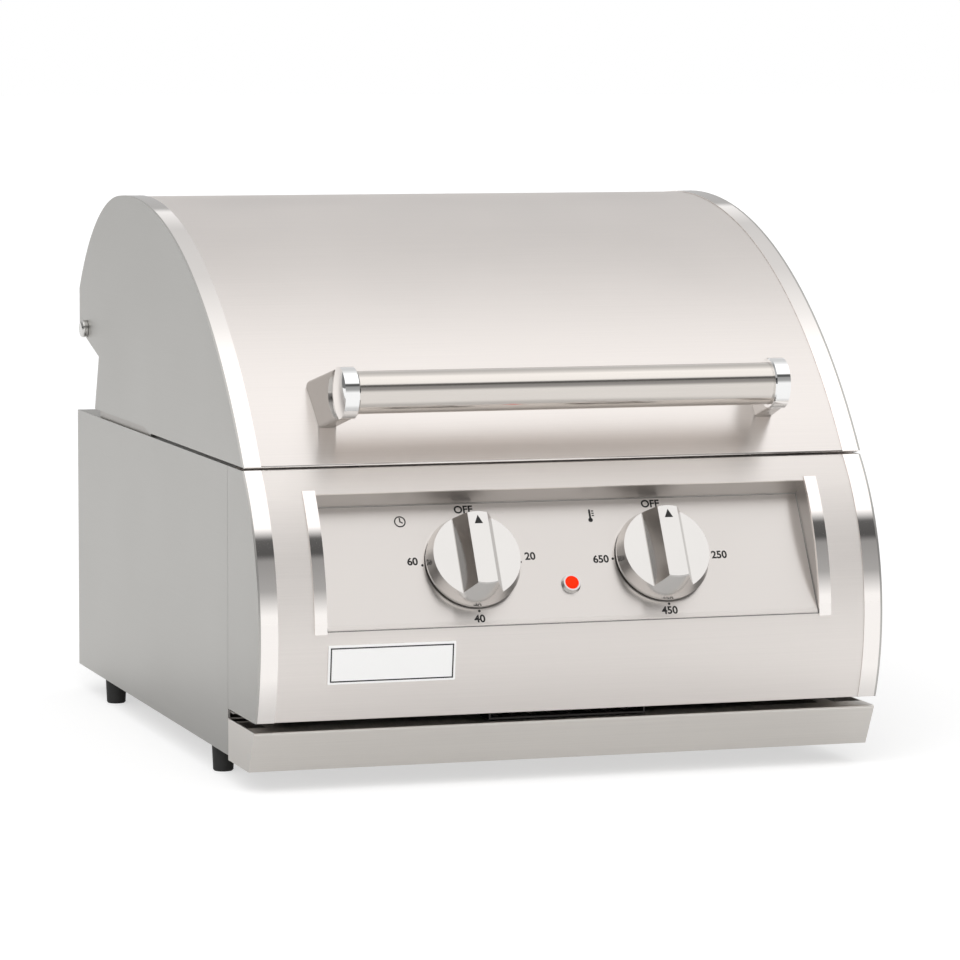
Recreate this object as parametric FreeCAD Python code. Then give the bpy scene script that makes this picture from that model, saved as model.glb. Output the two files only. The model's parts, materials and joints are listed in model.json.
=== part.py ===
import FreeCAD, Part
import math
import os

# Countertop electric grill with a roll-top hood and a pull-out drip tray, in millimetres.
# It is drawn from its front seam, where the hood meets the fascia: x runs to the right, y to the
# back and z up, and the seam's middle is 0, 0, 0. The export moves it onto its standing plane.

# ---- sheet stock and clearances ----
width = 470.0                 # over the side panels
sheet = 1.2                   # skins, deck, floor, fascia and tray
side_sheet = 1.5              # side plates and side panels
liner_sheet = 1.0             # firebox, hood liner and funnel
seat_gap = 0.3                # between pieces that rest on or slide along one another
weld_gap = 0.1                # behind a piece that is bonded or welded on
running_gap = 0.07            # all round a shaft in its bore
hole_gap = 0.3                # all round a fastener, rod or duct in its hole

# ---- hood profile ----
hood_gap = 2.5                # from the seam up to the hood's lower edge
crown_back = 378.4            # the crown is where the front and back curves meet
crown_height = 180.2
crown_lean = 3.7              # degrees that the crown's normal leans back
hood_inset = 9.1              # of the hood's back from the base's back
lip_top_height = 100.0        # upper end of the straight lip at the back
heel_height = 5.9             # lower edge of the hood side behind its step
step_back = 281.0             # where that edge starts to step up
step_run = 17.9
band_width = 14.0             # polished bands at both ends of hood and fascia
band_proud = 0.8              # of the bands over the skins
hem_depth = 20.0              # flange along the hood's lower front edge
liner_inset = 16.0            # from the hood's outer face to its liner
liner_end_back = 60.0         # how far behind the crown the liner ends

# ---- hinge ----
pivot_inset = 34.9            # of the pivot from the base's back
pivot_height = 68.4
bolt_shoulder = 8.0
bolt_thread = 6.0
bolt_head = 14.0
bolt_head_height = 5.0
pivot_nut = 10.0
pivot_nut_height = 5.0
washer_size = 16.0
bracket_sheet = 3.0
bracket_gap = 1.0             # between hinge bracket and hood side, filled by the washer
bracket_eye = 14.6
bracket_foot = 16.0
bracket_rib = 9.0
bracket_front = 286.0
bracket_neck = 395.0            # where its rib rises to the pivot
notch_run = 43.5              # from the pivot forward to the corner of the hood side's notch
notch_drop = 19.6
heel_run = 28.3
lip_drop = 1.2                # from the pivot down to the end of the hood's lip

# ---- handle ----
handle_reach = 12.3           # of the tube's axis in front of the seam
handle_height = 54.7
tube_size = 30.6
tube_wall = 1.5
tube_seat = 4.0               # of the tube's end inside its cap
cap_size = 37.1
cap_inset = 64.6              # from the hood's side to the top of the cap's dome
cap_dome = 2.8
cap_rim_width = 11.3
cap_chamfer = 1.0
arm_fall = 14.4               # degrees that the arms fall towards the hood
arm_height = 36.6
arm_reach = 66.0              # cut off where it meets the hood
arm_thick = 10.6              # at the tube
arm_seat_thick = 15.2         # at its reach
arm_spread = 9.4              # of its outer side, from the tube to its reach
arm_round = 2.0
arm_top_round = ((50.5, 18.3), (54.4, 16.2), (56.2, 11.5))
handle_bolt = 6.0
handle_bolt_inset = 3.1       # from the arm's outer side at the tube
handle_bolt_head = 10.0
handle_bolt_head_height = 4.0
handle_bolt_grip = 7.0        # length of bolt inside the cap

# ---- base shell ----
base_back = 531.6
base_height = 209.2           # from the seam down to the side panels' lower edge
seam_back = 41.3              # joint between front cheek and side panel
seam_gap = 0.4
flange_width = 25.5           # side panels' lower flange
back_flange = 12.0
fascia_bulge = 45.6           # of the fascia's curve in front of the seam
fascia_bulge_drop = 115.2
fascia_rise = 33.9            # of its lower edge from the base's
fascia_flange = 32.0
bulkhead_back = 46.0
deck_lip = 12.0
floor_rise = 31.2
vent_slot_width = 4.0
vent_slot_height = 30.0
vent_pitch = 12.0
vent_rows = 2
vent_count = 12
vent_top_drop = 45.0
vent_row_pitch = 42.0
back_screw = 4.0
back_screw_head = 8.0
back_screw_head_height = 2.2
back_screw_round = 1.3
back_screw_inset = 20.0       # of the top and bottom screws from the back panel's edges

# ---- control panel ----
dial_drop = 68.8              # centre of both dials, on the panel's face
dial_front = 21.2
panel_tilt = 30.0             # degrees from upright
panel_inset = 49.7            # of the recess's ends from the base's sides
panel_above_dial = 47.3
recess_top_drop = 16.8
panel_cut_reach = 30.0        # how far ahead of the panel its cuts reach
dial_offset = 71.65           # of each dial from the middle
trim_width = 9.3
trim_proud = 1.5
trim_top_drop = 14.0
trim_bottom_drop = 112.5
badge_inset = 50.4            # of its left end from the base's side
badge_width = 93.6
badge_top_drop = 120.4
badge_bottom_drop = 148.3
badge_thick = 1.6

# ---- knobs and what they turn ----
knob_lift = 1.8               # from the panel to the skirt's lower edge
knob_foot_size = 69.2
knob_skirt_size = 70.0        # widest, a little above the foot
knob_skirt_height = 5.0
knob_top_size = 56.0
knob_height = 30.0
knob_pocket_height = 15.0     # floor of the cut-outs beside the grip
knob_grip_width = 29.0
knob_grip_top_width = 14.0
knob_bevel_height = 16.0
knob_cavity_size = 44.0
knob_cavity_height = 11.0
knob_hub_size = 14.0
knob_edge = 0.7
shaft_size = 6.0
shaft_end_height = 24.0
shaft_inside = 16.0
bushing_size = 9.4
bushing_height = 7.5
control_nut_size = 14.0
control_nut_height = 3.0
timer_size = 50.0
timer_depth = 34.0
thermostat_size = 46.0
thermostat_depth = 28.0
bulb_size = 5.0
bulb_length = 80.0
bulb_wall_gap = 4.5           # from the firebox wall
bulb_inset = 20.0             # behind the front element bar
capillary_size = 2.0
capillary_bend = 6.0

# ---- indicator lamp ----
lamp_rise = 28.5              # up the panel from its lower edge
lamp_bezel_size = 14.6
lamp_bezel_height = 3.2
lamp_barrel_size = 11.0
lamp_barrel_depth = 14.0
lamp_lens_size = 10.0
lamp_lens_height = 4.6
lamp_lens_round = 2.0
lamp_body_depth = 24.0
lamp_body_size = 8.0

# ---- firebox ----
firebox_side_gap = 33.5       # from the side panels to the firebox's walls
firebox_front = 62.0
firebox_back = 430.0
firebox_drop = 95.0
firebox_slope = 12.0          # fall of the firebox floor to its drain
firebox_rim = 9.0
drain_half = 60.0
drain_depth = 40.0
grid_ledge = 10.0
grid_drop = 20.0              # from the deck to the ledges
grid_rod = 6.4
grid_rods = 14
grid_bar_width = 5.0
grid_bar_height = 8.0
grid_bars = 3
grid_weld_depth = 1.0         # of the rods in the bars that carry them
grid_end_gap = 3.0
grid_middle_gap = 3.0
element_size = 8.0
element_drop = 42.0
element_inset = 50.0          # of the outer runs' axes from the firebox's side walls
element_runs = 6
element_straight = 6.0        # between two bends
element_front = 100.0
element_turn_back = 395.0
element_tail = 26.0           # behind the firebox
element_support_height = 14.0
element_support_thick = 2.0
element_support_inset = 90.0
insulator_size = 16.0
insulator_depth = 10.0

# ---- drip tray ----
tray_top_rise = 26.9          # from the base's lower edge
tray_height = 30.3
tray_front_reach = 32.5       # of its upper front edge in front of the seam
tray_slope_run = 16.3         # how far the front leans back at the bottom
tray_flange = 24.0
pan_side_gap = 28.5           # from the side panels to the pan's walls
pan_rim = 11.0
pan_front = -12.0
pan_back = 440.0
pan_bottom_rise = 3.0
runner_back = 500.0
runner_clearance = 3.0        # between the pan's wall and the runner's ledge
louvre_rise = 29.0
louvre_half = 58.0
louvre_front = -24.0
louvre_slots = 8
louvre_pitch = 14.2
louvre_slot_width = 7.0

# ---- feet, buffers and power inlet ----
foot_height = 19.8
foot_top_size = 16.8
foot_bottom_size = 15.0
foot_edge = 1.0
foot_inset = 10.0             # of its axis from the side
foot_front_back = 95.0
foot_rear_inset = 90.6
foot_screw = 5.0
foot_screw_head = 9.0
foot_screw_head_height = 2.6
foot_screw_length = 14.0
buffer_size = 8.0
buffer_inset = 85.0           # from the base's side
buffer_back = 12.0
gland_inset = 105.0           # from the base's side
gland_rise = 59.2
gland_hole = 16.0
gland_nut = 24.0
gland_nut_depth = 7.0
gland_reach = 16.0
gland_inside = 12.0
cord_hole = 8.4
terminal_width = 60.0
terminal_depth = 24.0
terminal_height = 20.0
terminal_back = 482.0
terminal_poles = 3
terminal_hole = 5.0

# ---- places that follow ----
half = width / 2
side_face = half - side_sheet           # inner face of every side plate
deck_top = 0.0
pivot_back = base_back - pivot_inset
hood_back = base_back - hood_inset
standing_drop = base_height + foot_height
fascia_drop = base_height - fascia_rise
floor_drop = base_height - floor_rise
panel_half = half - panel_inset
firebox_half = side_face - firebox_side_gap
pan_half = side_face - pan_side_gap
gland_offset = half - gland_inset


# ---- drawing helpers ----
closed_enough = 1e-6                    # an outline whose ends are this near needs no last line


def at(y, z, x=0.0):
    return FreeCAD.Vector(x, y, z)


def block(x0, x1, y0, y1, z0, z1):
    return Part.makeBox(x1 - x0, y1 - y0, z1 - z0, FreeCAD.Vector(x0, y0, z0))


def rod(size, start, direction, length):
    return Part.makeCylinder(size / 2, length, start, direction)


def along(centre, start, end):
    """The arc step from start to end round centre: a point half-way, and the end."""
    radius = math.hypot(start[0] - centre[0], start[1] - centre[1])
    middle_y = start[0] + end[0] - 2 * centre[0]
    middle_z = start[1] + end[1] - 2 * centre[1]
    reach = radius / math.hypot(middle_y, middle_z)
    return (centre[0] + middle_y * reach, centre[1] + middle_z * reach), end


def section(*steps):
    """A closed outline in the yz plane: each step is a point, or an arc step."""
    first = at(*steps[0])
    here = first
    edges = []
    for step in steps[1:]:
        if isinstance(step[0], tuple):
            end = at(*step[1])
            edges.append(Part.Arc(here, at(*step[0]), end).toShape())
        else:
            end = at(*step)
            edges.append(Part.LineSegment(here, end).toShape())
        here = end
    if here.distanceToPoint(first) > closed_enough:
        edges.append(Part.LineSegment(here, first).toShape())
    return Part.Face(Part.Wire(edges))


def slab(x0, x1, *steps):
    """A solid with the same outline from x0 to x1."""
    face = section(*steps)
    face.translate(FreeCAD.Vector(x0, 0, 0))
    return face.extrude(FreeCAD.Vector(x1 - x0, 0, 0))


def mirrored(shape):
    return shape.mirror(FreeCAD.Vector(0, 0, 0), FreeCAD.Vector(1, 0, 0))


def pair(shape):
    return Part.makeCompound([shape, mirrored(shape)])


def hexagon(across, height, base, direction):
    """A hexagonal prism, measured across its flats."""
    corner = across / math.sqrt(3)
    turns = [math.radians(60 * k) for k in range(6)]
    corners = [FreeCAD.Vector(corner * math.cos(a), corner * math.sin(a), 0) for a in turns]
    prism = Part.Face(Part.makePolygon(corners + corners[:1])).extrude(FreeCAD.Vector(0, 0, height))
    turn = FreeCAD.Rotation(FreeCAD.Vector(0, 0, 1), direction)
    prism.Placement = FreeCAD.Placement(base, turn)
    return prism


def revolved(outline, base, direction):
    """A turned solid from (radius, height) points about the line from base along direction."""
    points = [FreeCAD.Vector(radius, 0, height) for radius, height in outline]
    face = Part.Face(Part.makePolygon(points + points[:1]))
    solid = face.revolve(FreeCAD.Vector(0, 0, 0), FreeCAD.Vector(0, 0, 1), 360)
    turn = FreeCAD.Rotation(FreeCAD.Vector(0, 0, 1), direction)
    solid.Placement = FreeCAD.Placement(base, turn)
    return solid


def bent_rod(size, bend, corners):
    """A round rod through straight runs that are joined by arcs at each corner."""
    edges = []
    here = corners[0]
    for before, corner, after in zip(corners, corners[1:], corners[2:]):
        back = (before - corner).normalize()
        ahead = (after - corner).normalize()
        turn = math.pi - back.getAngle(ahead)
        cut = bend * math.tan(turn / 2)
        start = corner + back * cut
        end = corner + ahead * cut
        inward = (back + ahead).normalize()
        middle = corner + inward * (bend / math.cos(turn / 2) - bend)
        edges.append(Part.LineSegment(here, start).toShape())
        edges.append(Part.Arc(start, middle, end).toShape())
        here = end
    edges.append(Part.LineSegment(here, corners[-1]).toShape())
    path = Part.Wire(edges)
    circle = Part.makeCircle(size / 2, corners[0], corners[1] - corners[0])
    return path.makePipeShell([Part.Wire([circle])], True, True)


def soften(solid, radius, wanted):
    edges = [edge for edge in solid.Edges if wanted(edge)]
    return solid.makeFillet(radius, edges)


parts = {}

# ---- hood profile: two arcs that are tangent at the crown ----
lean = math.radians(crown_lean)
crown_normal = (math.sin(lean), math.cos(lean))
hood_foot = (0.0, hood_gap)
lip_top = (hood_back, lip_top_height)


def crown_radius(end):
    """Radius of the arc that leaves the crown square to its normal and reaches end."""
    run = (crown_back - end[0], crown_height - end[1])
    return (run[0] ** 2 + run[1] ** 2) / (2 * (run[0] * crown_normal[0] + run[1] * crown_normal[1]))


def below_crown(drop):
    return (crown_back - drop * crown_normal[0], crown_height - drop * crown_normal[1])


front_radius = crown_radius(hood_foot)
rear_radius = crown_radius(lip_top)
front_centre = below_crown(front_radius)
rear_centre = below_crown(rear_radius)


def hood_front(inset, height):
    """The point of the front curve, set in by inset, at a height."""
    reach = math.sqrt((front_radius - inset) ** 2 - (height - front_centre[1]) ** 2)
    return (front_centre[0] - reach, height)


def hood_rear(inset, back):
    """The point of the rear curve, set in by inset, at a distance back."""
    reach = math.sqrt((rear_radius - inset) ** 2 - (back - rear_centre[0]) ** 2)
    return (back, rear_centre[1] + reach)


lip_bottom_height = pivot_height - lip_drop

# The skin is one sheet from the hem at the front over the crown to the lip at the back.
outer = band_proud
inner = band_proud + sheet
skin_front = hood_front(outer, hood_gap)
skin_inside = hood_front(inner, hood_gap + sheet)
hood_skin = slab(
    -side_face, side_face,
    skin_front,
    along(front_centre, skin_front, below_crown(outer)),
    along(rear_centre, below_crown(outer), hood_rear(outer, hood_back - outer)),
    (hood_back - outer, lip_bottom_height),
    (hood_back - inner, lip_bottom_height),
    hood_rear(inner, hood_back - inner),
    along(rear_centre, hood_rear(inner, hood_back - inner), below_crown(inner)),
    along(front_centre, below_crown(inner), skin_inside),
    (skin_inside[0] + hem_depth, hood_gap + sheet),
    (skin_inside[0] + hem_depth, hood_gap),
)


def curved_strip(x0, x1, centre, radius_out, radius_in, low, high):
    """A strip bent along a front curve, between two radii and two heights."""
    def on_curve(radius, height):
        return (centre[0] - math.sqrt(radius ** 2 - (height - centre[1]) ** 2), height)

    low_out = on_curve(radius_out, low)
    high_out = on_curve(radius_out, high)
    high_in = on_curve(radius_in, high)
    low_in = on_curve(radius_in, low)
    return slab(
        x0, x1, low_out, along(centre, low_out, high_out), high_in, along(centre, high_in, low_in)
    )


# A polished band lies on each end of the skin, from its front edge over the crown to the back.
band_inner_edge = half - band_width
band_inset = band_proud - weld_gap
band_back_end = hood_rear(band_inset, hood_back - band_inset)
band_front_end = hood_front(band_inset, hood_gap)
hood_band = slab(
    band_inner_edge, side_face,
    hood_foot,
    along(front_centre, hood_foot, (crown_back, crown_height)),
    along(rear_centre, (crown_back, crown_height), lip_top),
    (hood_back, lip_bottom_height),
    (hood_back - band_inset, lip_bottom_height),
    band_back_end,
    along(rear_centre, band_back_end, below_crown(band_inset)),
    along(front_centre, below_crown(band_inset), band_front_end),
)
parts["hood_band_right"] = hood_band
parts["hood_band_left"] = mirrored(hood_band)

# Each side plate closes the hood, with a notch at the back that clears the base as it opens.
notch_corner = (pivot_back - notch_run, pivot_height - notch_drop)
heel_back = pivot_back - heel_run
hood_side = slab(
    side_face, half,
    hood_foot,
    along(front_centre, hood_foot, (crown_back, crown_height)),
    along(rear_centre, (crown_back, crown_height), lip_top),
    (hood_back, lip_bottom_height),
    notch_corner,
    (heel_back, heel_height),
    (step_back + step_run, heel_height),
    (step_back, hood_gap),
)
across = FreeCAD.Vector(1, 0, 0)
pivot_bore = rod(bolt_shoulder + 2 * running_gap, at(pivot_back, pivot_height), across, width)
hood_side = hood_side.cut(pivot_bore)
parts["hood_side_right"] = hood_side
parts["hood_side_left"] = mirrored(hood_side)

# The liner follows the skin inside the hood and turns out to meet it behind the crown.
liner_outer = liner_inset
liner_inner = liner_inset + liner_sheet
liner_end = crown_back + liner_end_back
liner_foot = hood_front(liner_outer, hood_gap + sheet)
liner_foot_inner = hood_front(liner_inner, hood_gap + sheet)
turn_out = hood_rear(inner + weld_gap, liner_end)
turn_out_back = hood_rear(inner + weld_gap, liner_end + liner_sheet)
liner_back_outer = hood_rear(liner_outer, liner_end)
liner_back_inner = hood_rear(liner_inner, liner_end + liner_sheet)
hood_liner = slab(
    weld_gap - side_face, side_face - weld_gap,
    liner_foot,
    along(front_centre, liner_foot, below_crown(liner_outer)),
    along(rear_centre, below_crown(liner_outer), liner_back_outer),
    turn_out,
    turn_out_back,
    liner_back_inner,
    along(rear_centre, liner_back_inner, below_crown(liner_inner)),
    along(front_centre, below_crown(liner_inner), liner_foot_inner),
)
parts["hood_liner"] = hood_liner

# ---- handle: a tube in two chrome caps, each on an arm bolted through the hood's skin ----
handle_axis = (-handle_reach, handle_height)
fall = math.radians(arm_fall)
arm_way = (math.cos(fall), -math.sin(fall))
arm_side = (math.sin(fall), math.cos(fall))


def on_arm(distance, offset):
    """A point behind the tube's axis along the arm, and above the arm's centre line."""
    return (
        handle_axis[0] + distance * arm_way[0] + offset * arm_side[0],
        handle_axis[1] + distance * arm_way[1] + offset * arm_side[1],
    )


# Seen from above the arm widens and spreads from the tube to its seat.
cap_end = half - cap_inset
cap_rim = cap_end - cap_dome
cap_inner = cap_rim - cap_rim_width
tube_half = cap_inner + tube_seat
arm_outer = cap_rim
arm_inner = arm_outer - arm_thick
arm_outer_back = arm_outer + arm_spread
arm_inner_back = arm_outer_back - arm_seat_thick
handle_bolt_offset = arm_outer - handle_bolt_inset
arm_low = -arm_height / 2
arm_corners = [
    at(*on_arm(0, arm_low), arm_inner), at(*on_arm(0, arm_low), arm_outer),
    at(*on_arm(arm_reach, arm_low), arm_outer_back), at(*on_arm(arm_reach, arm_low), arm_inner_back),
]
arm_plan = Part.Face(Part.makePolygon(arm_corners + arm_corners[:1]))
arm = arm_plan.extrude(at(*arm_side) * arm_height)
arm = soften(arm, arm_round, lambda edge: edge.Length > arm_reach)
round_start, round_middle, round_end = (on_arm(*point) for point in arm_top_round)
arm_outline = slab(
    0, half,
    on_arm(-1, arm_height / 2), round_start, (round_middle, round_end),
    on_arm(arm_reach + 1, arm_low), on_arm(-1, arm_low),
)
arm = arm.common(arm_outline)
hood_body = slab(
    -half, half,
    hood_front(outer - weld_gap, -crown_height),
    along(front_centre, hood_front(outer - weld_gap, -crown_height), below_crown(outer - weld_gap)),
    (crown_back, -crown_height),
)
bolt_way = at(*arm_way)
bolt_tip = cap_size / 2 - handle_bolt_grip
bolt_hole = rod(
    handle_bolt + 2 * hole_gap, at(*on_arm(bolt_tip, 0), handle_bolt_offset), bolt_way, arm_reach
)
cap_place = at(*handle_axis, cap_inner)
cap_room = rod(cap_size + 2 * weld_gap, cap_place - across, across, half - cap_inner)
handle_arm = arm.cut(hood_body).cut(cap_room).cut(bolt_hole)
parts["handle_bracket_right"] = handle_arm
parts["handle_bracket_left"] = mirrored(handle_arm)

# The cap is turned: a chamfered mouth, a straight rim and a shallow dome.
cap_radius = cap_size / 2
dome_radius = (cap_radius ** 2 + cap_dome ** 2) / (2 * cap_dome)
dome_middle = cap_end - dome_radius + math.sqrt(dome_radius ** 2 - cap_radius ** 2 / 4)
cap_section = Part.Face(Part.Wire([
    Part.LineSegment(at(0, 0, cap_inner), at(0, cap_radius - cap_chamfer, cap_inner)).toShape(),
    Part.LineSegment(
        at(0, cap_radius - cap_chamfer, cap_inner), at(0, cap_radius, cap_inner + cap_chamfer)
    ).toShape(),
    Part.LineSegment(at(0, cap_radius, cap_inner + cap_chamfer), at(0, cap_radius, cap_rim)).toShape(),
    Part.Arc(
        at(0, cap_radius, cap_rim), at(0, cap_radius / 2, dome_middle), at(0, 0, cap_end)
    ).toShape(),
    Part.LineSegment(at(0, 0, cap_end), at(0, 0, cap_inner)).toShape(),
]))
handle_cap = cap_section.revolve(at(0, 0), across, 360)
handle_cap.translate(at(*handle_axis))
socket_depth = tube_half + hole_gap - cap_inner
tube_socket = rod(tube_size + 2 * running_gap, cap_place - across, across, socket_depth + 1)
handle_cap = handle_cap.cut(tube_socket).cut(bolt_hole)
parts["handle_cap_right"] = handle_cap
parts["handle_cap_left"] = mirrored(handle_cap)

tube_start = at(handle_axis[0], handle_axis[1], -tube_half)
handle_tube = rod(tube_size, tube_start, across, 2 * tube_half)
tube_core = rod(tube_size - 2 * tube_wall, tube_start - across, across, 2 * tube_half + 2)
parts["handle_tube"] = handle_tube.cut(tube_core)

# The bolt's head bears on the inside of the skin, in a line with the arm.
from_centre = (handle_axis[0] - front_centre[0], handle_axis[1] - front_centre[1])
ahead_of_centre = from_centre[0] * arm_way[0] + from_centre[1] * arm_way[1]
beside_centre = from_centre[0] * arm_side[0] + from_centre[1] * arm_side[1]
skin_hit = -ahead_of_centre - math.sqrt((front_radius - inner) ** 2 - beside_centre ** 2)
seat_turn = math.asin(abs(beside_centre) / (front_radius - inner))
head_lift = handle_bolt_head / 2 * math.tan(seat_turn) + hole_gap
bolt_start = bolt_tip + hole_gap
bolt_length = skin_hit + head_lift - bolt_start
handle_screw = rod(
    handle_bolt, at(*on_arm(bolt_start, 0), handle_bolt_offset), bolt_way, bolt_length
)
head_place = at(*on_arm(skin_hit + head_lift, 0), handle_bolt_offset)
handle_screw = handle_screw.fuse(rod(handle_bolt_head, head_place, bolt_way, handle_bolt_head_height))
parts["handle_bolts"] = pair(handle_screw)
parts["hood_skin"] = hood_skin.cut(bolt_hole).cut(mirrored(bolt_hole))

# ---- hinge: a bracket inside each hood side, a shouldered bolt, a washer and a nut ----
bracket_outer = side_face - bracket_gap
bracket_inner = bracket_outer - bracket_sheet
eye = bracket_eye / 2
neck_length = math.hypot(notch_run, notch_drop)
neck_way = (notch_run / neck_length, notch_drop / neck_length)
neck_top = (pivot_back - eye * neck_way[1], pivot_height + eye * neck_way[0])
neck_low = (pivot_back + eye * neck_way[1], pivot_height - eye * neck_way[0])
neck_end = (pivot_back + eye * neck_way[0], pivot_height + eye * neck_way[1])
neck_heel = (notch_corner[0], notch_corner[1] + sheet)
hinge_bracket = slab(
    bracket_inner, bracket_outer,
    (bracket_front, deck_top),
    (bracket_front, deck_top + bracket_rib),
    (bracket_neck, deck_top + bracket_rib),
    (bracket_neck + eye, neck_heel[1]),
    neck_top,
    (neck_end, neck_low),
    neck_heel,
    (heel_back - bracket_rib, deck_top),
)
foot_plate = block(
    bracket_inner - bracket_foot, bracket_inner, bracket_front, heel_back - bracket_rib,
    deck_top, deck_top + bracket_sheet,
)
hinge_bracket = hinge_bracket.fuse(foot_plate).removeSplitter()
thread_bore = rod(bolt_thread + 2 * running_gap, at(pivot_back, pivot_height), across, width)
hinge_bracket = hinge_bracket.cut(thread_bore)
parts["hinge_bracket_right"] = hinge_bracket
parts["hinge_bracket_left"] = mirrored(hinge_bracket)

pivot_spot = at(pivot_back, pivot_height, bracket_outer)
head_start = half + seat_gap
shoulder = rod(bolt_shoulder, pivot_spot, across, head_start - bracket_outer)
thread_length = bracket_sheet + pivot_nut_height + 2 * weld_gap
thread = rod(bolt_thread, pivot_spot, -across, thread_length)
head = rod(bolt_head, at(pivot_back, pivot_height, head_start), across, bolt_head_height)
head = soften(head, bolt_head_height / 2, lambda edge: edge.CenterOfMass.x > head_start + 1)
parts["pivot_bolts"] = pair(shoulder.fuse(thread).fuse(head).removeSplitter())
washer = rod(washer_size, pivot_spot + across * weld_gap, across, bracket_gap - 2 * weld_gap)
washer = washer.cut(rod(bolt_shoulder + 2 * running_gap, pivot_spot, across, bracket_gap))
parts["pivot_washers"] = pair(washer)
nut_start = at(pivot_back, pivot_height, bracket_inner - weld_gap)
pivot_nut_solid = hexagon(pivot_nut, pivot_nut_height, nut_start, -across)
pivot_nut_solid = pivot_nut_solid.cut(rod(bolt_thread + weld_gap, nut_start, -across, pivot_nut_height))
parts["pivot_nuts"] = pair(pivot_nut_solid)

# ---- fascia profile: one arc from the seam, round the bulge, to the lower edge ----
fascia_radius = (fascia_bulge ** 2 + fascia_bulge_drop ** 2) / (2 * fascia_bulge)
fascia_centre = (fascia_radius - fascia_bulge, -fascia_bulge_drop)


def fascia_front(inset, height):
    """The point of the fascia's curve, set in by inset, at a height."""
    reach = math.sqrt((fascia_radius - inset) ** 2 - (height - fascia_centre[1]) ** 2)
    return (fascia_centre[0] - reach, height)


up = FreeCAD.Vector(0, 0, 1)
cheek_foot = fascia_front(0, -fascia_drop)
front_cheek = slab(
    side_face, half,
    fascia_front(0, deck_top),
    (seam_back, deck_top),
    (seam_back, -fascia_drop),
    cheek_foot,
    along(fascia_centre, cheek_foot, fascia_front(0, deck_top)),
)
parts["front_cheek_right"] = front_cheek
parts["front_cheek_left"] = mirrored(front_cheek)

fascia_band = curved_strip(
    band_inner_edge, side_face, fascia_centre,
    fascia_radius, fascia_radius - band_proud + weld_gap, -fascia_drop, deck_top,
)
parts["fascia_band_right"] = fascia_band
parts["fascia_band_left"] = mirrored(fascia_band)

# The fascia is bent back along its top and bottom.
top_out = fascia_front(outer, deck_top)
top_in = fascia_front(inner, deck_top - sheet)
foot_out = fascia_front(outer, -fascia_drop)
foot_in = fascia_front(inner, sheet - fascia_drop)
fascia_sheet = slab(
    -side_face, side_face,
    top_out,
    (fascia_flange, deck_top),
    (fascia_flange, deck_top - sheet),
    top_in,
    along(fascia_centre, top_in, foot_in),
    (fascia_flange, sheet - fascia_drop),
    (fascia_flange, -fascia_drop),
    foot_out,
    along(fascia_centre, foot_out, top_out),
)

# ---- control panel: a tilted dial plate, recessed at its top, with a roof and two cheeks ----
tilt = math.radians(panel_tilt)
panel_up = (math.sin(tilt), math.cos(tilt))
panel_out = (-math.cos(tilt), math.sin(tilt))
dial_centre = (-dial_front, -dial_drop)


def on_panel(rise, lift):
    """A point a distance up the plate from the dials' centre line and lifted off its face."""
    return (
        dial_centre[0] + rise * panel_up[0] + lift * panel_out[0],
        dial_centre[1] + rise * panel_up[1] + lift * panel_out[1],
    )


# The plate's lower edge is where its face runs out through the fascia's outer face.
offset = (dial_centre[0] - fascia_centre[0], dial_centre[1] - fascia_centre[1])
half_b = offset[0] * panel_up[0] + offset[1] * panel_up[1]
reach_c = offset[0] ** 2 + offset[1] ** 2 - (fascia_radius - outer) ** 2
panel_foot_rise = -half_b - math.sqrt(half_b ** 2 - reach_c)
panel_foot = on_panel(panel_foot_rise, 0)
panel_top = on_panel(panel_above_dial, 0)
recess_top = fascia_front(outer, -recess_top_drop)
recess = slab(
    -panel_half, panel_half,
    panel_foot, panel_top, recess_top,
    (recess_top[0] - panel_cut_reach, recess_top[1]), (panel_foot[0] - panel_cut_reach, panel_foot[1]),
)
fascia = fascia_sheet.cut(recess)

panel_shell = slab(
    -panel_half - sheet, panel_half + sheet,
    on_panel(panel_foot_rise - sheet, -sheet),
    on_panel(panel_above_dial + sheet, -sheet),
    (recess_top[0] + sheet, recess_top[1] + sheet * 2),
    (recess_top[0] - panel_cut_reach, recess_top[1] + sheet * 2),
    (panel_foot[0] - panel_cut_reach, panel_foot[1] - sheet),
)
behind_skin = slab(
    -half, half,
    fascia_front(inner, deck_top - sheet),
    (fascia_flange, deck_top - sheet),
    (fascia_flange, -fascia_drop),
    fascia_front(inner, -fascia_drop),
    along(fascia_centre, fascia_front(inner, -fascia_drop), fascia_front(inner, deck_top - sheet)),
)
control_panel = panel_shell.common(behind_skin).cut(recess)

panel_normal = at(*panel_out)
dial_spots = {"timer": at(*dial_centre, -dial_offset), "thermostat": at(*dial_centre, dial_offset)}
lamp_spot = at(*on_panel(panel_foot_rise + lamp_rise, 0))
panel_holes = [(spot, bushing_size) for spot in dial_spots.values()] + [(lamp_spot, lamp_barrel_size)]
for spot, size in panel_holes:
    start = spot - panel_normal * 2 * sheet
    control_panel = control_panel.cut(rod(size + 2 * hole_gap, start, panel_normal, 3 * sheet))
parts["control_panel"] = control_panel

trim = curved_strip(
    panel_half + weld_gap, panel_half + trim_width, fascia_centre,
    fascia_radius + trim_proud - band_proud, fascia_radius - band_proud + weld_gap,
    -trim_bottom_drop, -trim_top_drop,
)
parts["recess_trim_right"] = trim
parts["recess_trim_left"] = mirrored(trim)

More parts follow.
